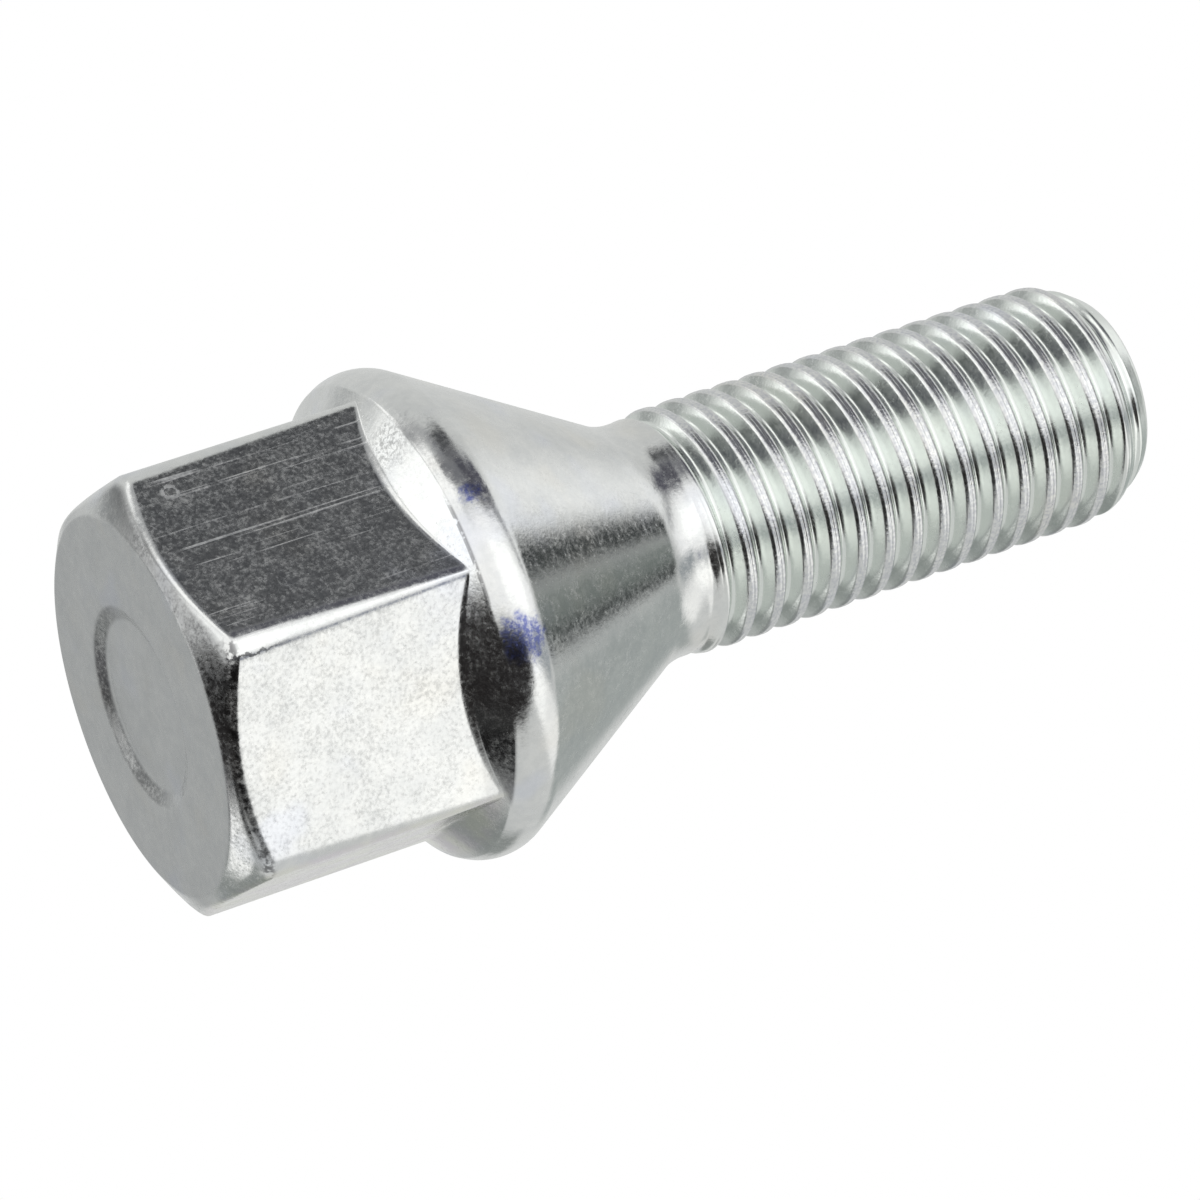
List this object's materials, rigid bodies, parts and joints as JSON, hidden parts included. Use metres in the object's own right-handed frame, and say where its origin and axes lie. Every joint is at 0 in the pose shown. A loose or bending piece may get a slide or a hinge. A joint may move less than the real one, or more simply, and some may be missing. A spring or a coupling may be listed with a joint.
{
  "type": "wheel bolt",
  "caption": "Wheel bolt with a hexagon head, a round flange, a 60 degree conical seat and a threaded shank, in bright zinc-plated steel.",
  "frame": {"origin": "centre of the head's end face, which the bolt stands on", "axes": "+Z along the bolt's axis, from the head's end face to the thread's tip; +X through a corner of the hexagon"},
  "size_m": [0.0234, 0.0234, 0.0512],
  "materials": {
    "zinc_plate": "bright zinc plated, satin, finely mottled"
  },
  "bodies": {
    "root": {"wheel_bolt": "zinc_plate"}
  },
  "joints": []
}
